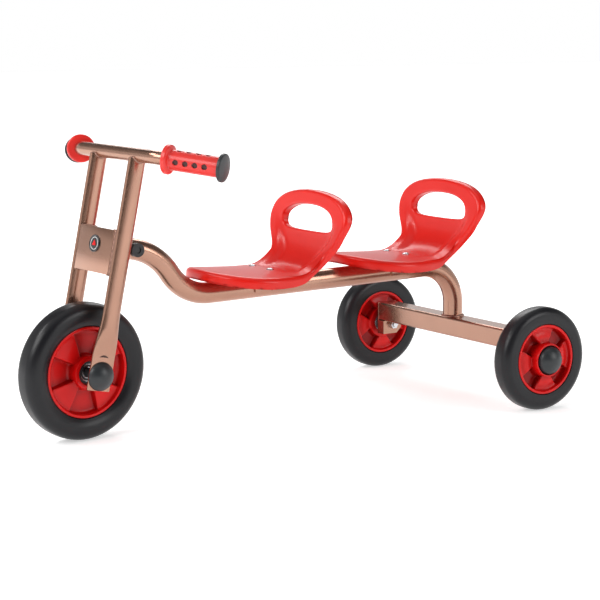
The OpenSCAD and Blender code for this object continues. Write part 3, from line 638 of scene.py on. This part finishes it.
def make_hub(name, node, matrix, body, rim_r, rim_half, faces, block_turn):
    """A moulded hub; faces holds (boss height, bearing seat, pocket radius) for the +X and -X sides."""
    rim_in = rim_r - RIM_WALL
    rings = []
    for sign, (boss, pocket, pocket_r) in zip((1, -1), faces):
        side = [hub_ring(sign * low, sign * (low if top is None else top), r, rim_in, block_turn)
                for r, low, top in face_profile(boss, pocket, pocket_r, rim_r, rim_half)]
        rings += side if sign > 0 else list(reversed(side))
    piece(name, loft(rings, closed=True), matrix, body, [HUB_RED], [node], smooth=40)


def make_wheels():
    make_tyre("front_wheel_tyre", "front_tyre", FORK, "front_wheel", *FRONT_RIM)
    make_hub("front_wheel_hub", "front_hub", FORK, "front_wheel", *FRONT_RIM, FRONT_FACES,
             FRONT_WEDGE_TURN)
    for side_name, side in SIDES:
        piece(f"front_race_rim_{side_name}", lathe(RACE_RIM, 96, closed=True), mirrored(FORK, side),
              "front_wheel", [RACE])
    for side_name, side in SIDES:
        matrix = rear_wheel_frame(side_name, side)
        body = f"rear_wheel_{side_name}"
        make_tyre(f"rear_wheel_tyre_{side_name}", f"rear_tyre_{side_name}", matrix, body, *REAR_RIM)
        make_hub(f"rear_wheel_hub_{side_name}", f"rear_hub_{side_name}", matrix, body, *REAR_RIM,
                 REAR_FACES, REAR_WEDGE_TURN)


# ---------- caps, plugs, badge ----------

CAP_R = 21.0
CAP_DOME = 12.0
CAP_WALL = 2.2


def dome_line(x_top, rise, radius, steps=14):
    """Arc from the rim of a dome to near its pole, as (along, radius)."""
    ball = (radius * radius + rise * rise) / (2 * rise)
    whole = math.asin(radius / ball)
    turns = [whole * (1 - k / steps) for k in range(steps)]
    return [(x_top - ball + ball * math.cos(a), ball * math.sin(a)) for a in turns]


def cap_part(height):
    """A hollow domed cap standing on x = 0."""
    outside = dome_line(height, CAP_DOME, CAP_R)
    skirt = height - CAP_DOME
    outer = [(0.0, CAP_R - 0.5), (0.5, CAP_R), (skirt - 0.8, CAP_R)] + outside[1:]
    inner = dome_line(height - CAP_WALL, CAP_DOME - 1, CAP_R - CAP_WALL)
    pole = [(height, 0.4), (height - CAP_WALL, 0.4)]
    return lathe(outer + pole + list(reversed(inner)) + [(0.0, CAP_R - CAP_WALL)], 72, closed=True)


def make_caps():
    for side_name, side in SIDES:
        low, high = extent(f"front_cap_{side_name}", mirrored(FORK, side))
        piece(f"front_dome_cap_{side_name}", cap_part(high[0] - low[0]),
              mirrored(FORK, side) @ Matrix.Translation((low[0], 0, 0)), "fork", [CAP],
              [f"front_cap_{side_name}"])
        matrix = rear_wheel_frame(side_name, side)
        low, high = extent(f"rear_cap_{side_name}", matrix)
        piece(f"rear_dome_cap_{side_name}", cap_part(high[0] - low[0]),
              matrix @ Matrix.Translation((low[0], 0, 0)), "frame", [CAP],
              [f"rear_cap_{side_name}"])


BADGE_Z = 184.0
BADGE_R = 12.5
MARK_R = 5.5
COVER_FRONT = -14.0
COVER_BACK = -8.5
COVER_HALF = 43.6
CROWN_LOW = 143.5
CROWN_TOP = 207.5


def make_badge():
    """Black disc with a pale ring and a plain red triangle."""
    disc = lathe(rounded([(0, 1), (0, BADGE_R), (1.9, BADGE_R), (1.9, BADGE_R - 1.2), (1.2, BADGE_R - 1.9),
                          (1.2, 0.5)], [0, 0, 0.5, 0.3, 0.2, 0], 4), 72)
    ring = lathe(rounded([(1.1, BADGE_R - 4.2), (1.6, BADGE_R - 4.2), (1.6, BADGE_R - 3.2),
                          (1.1, BADGE_R - 3.2)], [0, 0.15, 0.15, 0], 3), 72, closed=True)
    points = (math.pi / 2, math.pi * 7 / 6, -math.pi / 6)
    corners = [(1.0, MARK_R * math.cos(a), MARK_R * math.sin(a)) for a in points]
    lid = [(1.75, y, z) for _, y, z in corners]
    mark = loft([corners, lid])
    turn = Matrix.Rotation(-math.pi / 2, 4, "Z")
    matrix = FORK @ Matrix.Translation((0, COVER_FRONT, BADGE_Z)) @ turn
    piece("badge_disc", disc, matrix, "fork", [BADGE], ["badge"])
    piece("badge_ring", ring, matrix, "fork", [BADGE_PALE])
    piece("badge_mark", mark, matrix, "fork", [HUB_RED], smooth=20)


# ---------- handlebar, grips and plugs ----------

BAR_HEIGHT = 317.0
BAR_R = 10.0
BAR_KNEE = 96.0
BAR_BEND_R = 45.0
BAR_SWEEP = math.radians(30)
BAR_END = 97.0
GRIP_R = 14.5
GRIP_START = 13.0
FLANGE_T = 8.0
FLANGE_R = 21.0
SLEEVE_START = GRIP_START + FLANGE_T + 3
DIMPLE_R = 4.0
DIMPLE_FIRST = 34.0
DIMPLE_STEP = 14.5
DIMPLE_TILT = math.radians(15)
DIMPLE_DEPTH = 2.2
PLUG_R = 20.0
PLUG_T = 5.0


def bar_end_frame(side):
    """Frame at a bend of the handlebar with +X running out along the bar's end."""
    at_bend = Matrix.Translation((BAR_KNEE, 0, BAR_HEIGHT)) @ Matrix.Rotation(BAR_SWEEP, 4, "Z")
    return mirrored(FORK, side) @ at_bend


def make_handlebar():
    reach = BAR_END * Vector((math.cos(BAR_SWEEP), math.sin(BAR_SWEEP)))
    knee = Vector((BAR_KNEE, 0))
    far = [Vector((-v.x, v.y)) for v in (knee + reach, knee)]
    line = rounded([*far, knee, knee + reach], [0, BAR_BEND_R, BAR_BEND_R, 0], 14)
    path = [Vector((p.x, p.y, BAR_HEIGHT)) for p in line]
    piece("handlebar_tube", sweep(path, (0, 0, 1), BAR_R, 56), FORK, "fork", [ROSE],
          ["handlebar"])


def grip_profile():
    """(along, radius) of the grip's outside, from the inner flange to the plug."""
    start, end = GRIP_START, GRIP_START + FLANGE_T
    line = [(start, BAR_R), (start, FLANGE_R), (end, FLANGE_R), (end + 2.0, GRIP_R), (BAR_END, GRIP_R)]
    flange = rounded(line, [0, 2.6, 2.6, 1.6, 0], 8)[:-1]
    sleeve = flange[-1].x
    steps = 118
    return flange + [Vector((sleeve + (BAR_END - sleeve) * k / steps, GRIP_R)) for k in range(1, steps + 1)]


def dimple_drop(x, angle):
    """How deep the grip's surface is pressed in at a place."""
    row = round((angle - DIMPLE_TILT) / (math.pi / 2))
    off = (angle - DIMPLE_TILT - row * math.pi / 2) * GRIP_R
    step = min(max(round((x - DIMPLE_FIRST) / DIMPLE_STEP), 0), 3)
    reach = math.hypot(x - DIMPLE_FIRST - step * DIMPLE_STEP, off)
    return DIMPLE_DEPTH * (1 - ease((reach - DIMPLE_R + 0.5) / 1.0))


def grip_part(count=176):
    """The grip with its flange and four rows of dimples."""
    rings = []
    for x, r in [*grip_profile(), (BAR_END, BAR_R)]:
        ring = []
        for a in circle_angles(count):
            reach = r - (dimple_drop(x, a) if x > SLEEVE_START else 0)
            ring.append((x, -reach * math.sin(a), reach * math.cos(a)))
        rings.append(ring)
    return loft(rings, closed=True)


def in_shaded_dimple(middle):
    """Material slot of a face of the grip: 1 for a dimple's floor, which is given painted shade."""
    deep = math.hypot(middle.y, middle.z) < GRIP_R - 0.75
    return 1 if deep and SLEEVE_START < middle.x < BAR_END - 2 else 0


def make_grips():
    grip = grip_part()
    end = BAR_END + PLUG_T
    disc = [(BAR_END, 6), (BAR_END, PLUG_R), (end, PLUG_R), (end + 0.7, PLUG_R - 3.0)]
    face = rounded(disc, [0, 1.2, 1.6, 0], 6) + dome_line(end + 2.4, 1.8, PLUG_R - 3.0, 10)[1:]
    stem = lathe([(BAR_END - 20, 8.0), (BAR_END + 1, 8.0)], 48)
    plug = joined(lathe(face, 96), stem)
    for side_name, side in SIDES:
        matrix = bar_end_frame(side)
        # the dimple floors take the painted shade material
        piece(f"rubber_grip_{side_name}", grip, matrix, "fork", [GRIP_RED, DIMPLE_SHADE],
              [f"grip_{side_name}"], smooth=60, pick=in_shaded_dimple)
        piece(f"end_plug_{side_name}", plug, matrix, "fork", [CAP],
              [f"grip_plug_{side_name}"])


# ---------- fork legs ----------

LEG_X = 49.0
LEG_W = 28.0
LEG_T = 15.0
TAB_W = 38.0
TAB_T = 4.0
TAB_MIDDLE = 46.5
TAB_LOW = -21.0
TAB_TOP = 30.0
LEG_LOW = 74.0
LEG_NARROW = 100.0
LEG_TOP = 312.0
FOLD_HALF = 8.5
FOLD_Z = 26.5
FOLD_BOW = 2.6
CROWN_END = 41.0
CROWN_FRONT = -13
CROWN_BACK = 12
SEAM_Y = -11.4


def leg_ring(z, count=56):
    """Section of a leg at height z: an oval tube that flattens into the tab."""
    t = ease((z - TAB_TOP + 4) / (LEG_LOW - TAB_TOP))
    narrowing = ease((z - TAB_TOP + 4) / (LEG_NARROW - TAB_TOP))
    middle = TAB_MIDDLE + (LEG_X - TAB_MIDDLE) * t
    width = TAB_W + (LEG_W - TAB_W) * narrowing
    thick = TAB_T + (LEG_T - TAB_T) * t
    roundness = 0.30 + 0.70 * t
    return [(middle + thick / 2 * squash(math.cos(a), roundness),
             width / 2 * squash(math.sin(a), roundness), z) for a in circle_angles(count)]


def leg_part():
    """A fork leg: the tab's foot slightly rounded in, dense rings where it is pressed flat."""
    heights = [TAB_LOW, TAB_LOW + 0.4, TAB_LOW + 1.2, 0, 15]
    heights += [24 + 1.6 * k for k in range(50)]
    heights += [106, 112, 120, 160, 200, 240, 280, 300, LEG_TOP - 0.5, LEG_TOP]
    rings = [leg_ring(z) for z in heights]
    for ring, inset in ((rings[0], 2.4), (rings[1], 1.2)):
        for i, (x, y, z) in enumerate(ring):
            ring[i] = (x, y * (1 - inset / (TAB_W / 2) * 0.35), z)
    return loft(rings)


def fold_shadow_part():
    """Painted shadow in the fold where the oval tube was pressed flat above the axle, as a thin dark crescent."""
    face = TAB_MIDDLE + TAB_T / 2 - 0.1
    rings = []
    for k in range(25):
        t = -1 + 2 * k / 24
        middle = Vector((face, FOLD_HALF * t, FOLD_Z + FOLD_BOW * (1 - t * t)))
        size = 0.15 + 1.7 * math.sin(math.pi * k / 24)
        rings.append([middle + Vector((0.3 * size * math.cos(a), 0, size * math.sin(a)))
                      for a in circle_angles(12)])
    return loft(rings)


def bar_weld_path():
    """Loop where a leg's top meets the underside of the handlebar."""
    out = []
    for a in circle_angles(72):
        x = LEG_X + (LEG_T / 2 + 0.2) * squash(math.cos(a), 0.5)
        y = 8.9 * squash(math.sin(a), 0.6)
        out.append(Vector((x, y, BAR_HEIGHT - math.sqrt(BAR_R ** 2 - y * y) - 0.1)))
    return out


def make_fork_legs():
    for side_name, side in SIDES:
        matrix = mirrored(FORK, side)
        piece(f"fork_leg_tube_{side_name}", leg_part(), matrix, "fork", [ROSE],
              [f"fork_leg_{side_name}"], smooth=48)
        # a dark crescent painted as the shadow in the press fold
        piece(f"fold_shade_{side_name}", fold_shadow_part(), matrix, "fork", [FOLD_SHADOW])
        piece(f"bar_weld_{side_name}", bead(bar_weld_path(), 1.5), matrix, "fork", [WELD])
        for edge, z in (("lower", CROWN_LOW), ("upper", CROWN_TOP)):
            out = [Vector((CROWN_END + 0.3, y, z)) for y in np.linspace(CROWN_FRONT, CROWN_BACK, 24)]
            back = [Vector((CROWN_END - 0.3, y, z)) for y in np.linspace(CROWN_BACK, CROWN_FRONT, 24)]
            piece(f"crown_weld_{edge}_{side_name}", bead(out + back, 1.3), matrix, "fork",
                  [WELD])
        out = [Vector((COVER_HALF + 0.2, SEAM_Y, z)) for z in np.linspace(CROWN_LOW + 1, CROWN_TOP - 1, 60)]
        back = [p - Vector((0.6, 0, 0)) for p in reversed(out)]
        piece(f"cover_weld_{side_name}", bead(out + back, 1.9), matrix, "fork", [WELD])


def make_crown_cover():
    """The plate across the crown, run on to meet the round fronts of both legs."""
    front = rounded([(-COVER_HALF, COVER_BACK), (-COVER_HALF, COVER_FRONT), (COVER_HALF, COVER_FRONT),
                     (COVER_HALF, COVER_BACK)], [0, 1.4, 1.4, 0], 5)
    rings = []
    for z, inset in ((CROWN_LOW, 0.5), (CROWN_LOW + 0.5, 0), (CROWN_TOP - 0.5, 0), (CROWN_TOP, 0.5)):
        narrowed = 1 - inset / COVER_HALF
        thinned = 1 - inset / (-2 * COVER_FRONT)
        rings.append([(p.x * narrowed, p.y * thinned, z) for p in front])
    piece("crown_cover_plate", loft(rings), FORK, "fork", [ROSE], ["crown_cover"], smooth=30)


# ---------- main beam ----------

BEAM_R = 16.0
DROP_SLOPE = math.radians(56)
DROP_FOOT_Y = -155.6
HEAD_JOIN = 184.0
SWAGE_FRONT = 5.0
SWAGE_BACK = 38.0
SWAGE_W = 17.0
SWAGE_LOW = 120
HEAD_R = 10.4
HEAD_BEND_R = 90
LOW_BEND_R = 75
REAR_BEND_R = 62


def beam_line():
    """The beam's bent middle line in the YZ plane, in ground millimetres."""
    rake = math.atan2(steer_up.y, steer_up.z)
    axle_y = joints["rear_wheel_left_spin"]["pos_m"][1] / MM
    foot_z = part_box("rear_axle_beam")[1].z / MM
    head = Vector((wheel_middle.y, wheel_middle.z)) / MM
    start = head + HEAD_JOIN * Vector((math.sin(rake), math.cos(rake)))
    start += SWAGE_FRONT * Vector((math.cos(rake), -math.sin(rake)))
    foot = Vector((DROP_FOOT_Y, beam_height(DROP_FOOT_Y * MM) / MM))
    steep, shallow = math.tan(DROP_SLOPE), math.tan(rake)
    knee_y = (start.y + start.x * shallow - foot.y - foot.x * steep) / (shallow - steep)
    knee = Vector((knee_y, foot.y - (knee_y - foot.x) * steep))
    rear = Vector((axle_y, beam_height(axle_y * MM) / MM))
    radii = [0, HEAD_BEND_R, LOW_BEND_R, REAR_BEND_R, 0]
    return rounded([start, knee, foot, rear, (axle_y, foot_z)], radii, 22)


def make_main_beam():
    path = [Vector((0, p.x, p.y)) for p in beam_line()]
    pressed = [path[0].lerp(path[1], t / 10) for t in range(1, 10)]
    path = [path[0], *pressed, *path[1:]]
    to_head = HEAD.inverted() @ GROUND
    to_ground = to_head.inverted()

    def squeeze(point, k):
        """Presses the beam's front flat beside the head tube and shapes its end to that tube."""
        at = to_head @ point
        if at.y > SWAGE_BACK or at.z < SWAGE_LOW:
            return point
        t = ease((at.y - SWAGE_FRONT) / (SWAGE_BACK - SWAGE_FRONT))
        limit = SWAGE_W / 2 + (BEAM_R - SWAGE_W / 2) * t
        power = 2 + 3 * (1 - t)
        at.x = limit * math.tanh(power * at.x / BEAM_R) / math.tanh(power)
        if k == 0:
            at.y = math.sqrt(HEAD_R ** 2 - at.x ** 2) - 0.3
        return to_ground @ at

    piece("bent_main_beam", sweep(path, (1, 0, 0), BEAM_R, 64, squeeze), GROUND, "frame",
          [ROSE], ["main_beam"])
    foot_r = BEAM_R + 0.6
    foot = [path[-1] + Vector((foot_r * math.cos(a), foot_r * math.sin(a), 0.6)) for a in circle_angles(96)]
    piece("beam_foot_weld", bead(foot, 2.2), GROUND, "frame", [WELD])
    front = []
    for a in circle_angles(72):
        x = (SWAGE_W / 2 - 0.3) * squash(math.cos(a), 0.45)
        z = HEAD_JOIN + (BEAM_R - 0.4) * math.sin(a)
        front.append(Vector((x, math.sqrt(HEAD_R ** 2 - x * x) + 0.2, z)))
    piece("head_tube_weld", bead(front, 1.5), HEAD, "frame", [WELD])


# ---------- stage ----------

# Where the picture is taken from, in metres and degrees
VIEW_AZIMUTH = math.radians(57.942)
VIEW_ELEVATION = math.radians(8.617)
VIEW_ROLL = math.radians(-0.592)
VIEW_PLACE = (2.1435, -1.2956, 0.5530)
LENS = 99.1
DARK_AZIMUTH = VIEW_AZIMUTH + math.radians(9)
FLOOR_REACH = 40.0
# World brightness by the height of the direction, from the horizon to straight up
SKY = [(0.0, 0.85), (0.30, 0.9), (0.42, 0.12), (0.84, 0.10), (0.92, 0.75), (1.0, 0.95)]
SOFTBOXES = {  # place, aim, size in metres and power in watts
    "key": ((0.2, -2.8, 2.2), (0, 0, 0.2), (2.2, 1.4), 62),
    "side": ((2.8, 1.6, 1.6), (0, 0, 0.2), (1.6, 1.6), 34),
    "left": ((-1.2, -1.9, 2.3), (0, -0.3, 0.2), (0.7, 0.7), 16),
    "back": ((-2.2, 1.4, 2.4), (0, 0, 0.2), (2.0, 1.4), 40),
}


def make_floor():
    """A pale floor that grows brighter away from the object, so that it has no horizon."""
    material = bpy.data.materials.new("studio_floor")
    material.use_nodes = True
    nodes = material.node_tree.nodes
    link = material.node_tree.links.new
    shader = nodes["Principled BSDF"]
    shader.inputs["Base Color"].default_value = (0.93, 0.93, 0.93, 1)
    shader.inputs["Roughness"].default_value = 0.7
    shader.inputs["Specular IOR Level"].default_value = 0.1
    shader.inputs["Emission Color"].default_value = (1, 1, 1, 1)
    place = nodes.new("ShaderNodeTexCoord")
    far = nodes.new("ShaderNodeVectorMath")
    far.operation = "LENGTH"
    glow = nodes.new("ShaderNodeMapRange")
    glow.inputs["From Min"].default_value = 0.6
    glow.inputs["From Max"].default_value = 2.6
    glow.inputs["To Min"].default_value = 0.50
    glow.inputs["To Max"].default_value = 1.0
    link(place.outputs["Object"], far.inputs[0])
    link(far.outputs["Value"], glow.inputs["Value"])
    link(glow.outputs["Result"], shader.inputs["Emission Strength"])
    mesh = bpy.data.meshes.new("floor")
    corners = [(x * FLOOR_REACH, y * FLOOR_REACH, 0) for x, y in ((-1, -1), (1, -1), (1, 1), (-1, 1))]
    mesh.from_pydata(corners, [], [(0, 1, 2, 3)])
    mesh.materials.append(material)
    floor = bpy.data.objects.new("floor", mesh)
    bpy.context.scene.collection.objects.link(floor)


def softbox(name, place, aim, size, power):
    data = bpy.data.lights.new(name, "AREA")
    data.shape = "RECTANGLE"
    data.size, data.size_y = size
    data.energy = power
    lamp = bpy.data.objects.new(name, data)
    lamp.location = place
    lamp.rotation_euler = (Vector(aim) - Vector(place)).to_track_quat("-Z", "Y").to_euler()
    bpy.context.scene.collection.objects.link(lamp)


def dark_sector(nodes, link, place):
    """World strength that drops in a narrow sector on the camera's side."""
    toward = nodes.new("ShaderNodeVectorMath")
    toward.operation = "DOT_PRODUCT"
    toward.inputs[1].default_value = (math.sin(DARK_AZIMUTH), -math.cos(DARK_AZIMUTH), 0)
    link(place.outputs["Generated"], toward.inputs[0])
    drop = nodes.new("ShaderNodeMapRange")
    drop.interpolation_type = "SMOOTHSTEP"
    drop.inputs["From Min"].default_value = 0.68
    drop.inputs["From Max"].default_value = 0.82
    drop.inputs["To Min"].default_value = 0.85
    drop.inputs["To Max"].default_value = 0.06
    link(toward.outputs["Value"], drop.inputs["Value"])
    return drop.outputs["Result"]


def make_world():
    """White where it is seen; in reflections a soft studio, bright low down and dark above."""
    world = bpy.data.worlds.new("studio")
    bpy.context.scene.world = world
    world.use_nodes = True
    nodes = world.node_tree.nodes
    link = world.node_tree.links.new
    place = nodes.new("ShaderNodeTexCoord")
    split = nodes.new("ShaderNodeSeparateXYZ")
    ramp = nodes.new("ShaderNodeValToRGB")
    stops = ramp.color_ramp.elements
    for k, (height, value) in enumerate(SKY):
        stop = stops[k] if k < 2 else stops.new(height)
        stop.position = height
        stop.color = (value, value, value, 1)
    link(place.outputs["Generated"], split.inputs["Vector"])
    link(split.outputs["Z"], ramp.inputs["Fac"])
    shine = nodes["Background"]
    link(ramp.outputs["Color"], shine.inputs["Color"])
    link(dark_sector(nodes, link, place), shine.inputs["Strength"])
    white = nodes.new("ShaderNodeBackground")
    white.inputs["Color"].default_value = (1, 1, 1, 1)
    path = nodes.new("ShaderNodeLightPath")
    choose = nodes.new("ShaderNodeMixShader")
    link(path.outputs["Is Camera Ray"], choose.inputs["Fac"])
    link(shine.outputs["Background"], choose.inputs[1])
    link(white.outputs["Background"], choose.inputs[2])
    link(choose.outputs["Shader"], nodes["World Output"].inputs["Surface"])


def make_camera():
    data = bpy.data.cameras.new("camera")
    data.lens = LENS
    data.sensor_width = 36
    back = Vector((math.sin(VIEW_AZIMUTH) * math.cos(VIEW_ELEVATION),
                   -math.cos(VIEW_AZIMUTH) * math.cos(VIEW_ELEVATION), math.sin(VIEW_ELEVATION)))
    right = Vector((math.cos(VIEW_AZIMUTH), math.sin(VIEW_AZIMUTH), 0))
    turn = Matrix((right, back.cross(right), back)).transposed().to_4x4()
    camera = bpy.data.objects.new("camera", data)
    camera.matrix_world = Matrix.Translation(VIEW_PLACE) @ turn @ Matrix.Rotation(VIEW_ROLL, 4, "Z")
    bpy.context.scene.collection.objects.link(camera)
    bpy.context.scene.camera = camera


def make_stage():
    bpy.context.scene.view_settings.view_transform = "Standard"
    make_floor()
    make_world()
    for name, (place, aim, size, power) in SOFTBOXES.items():
        softbox(name, place, aim, size, power)
    make_camera()


dress_cad_nodes()
make_seats()
make_wheels()
make_caps()
make_badge()
make_handlebar()
make_grips()
make_fork_legs()
make_crown_cover()
make_main_beam()
make_stage()
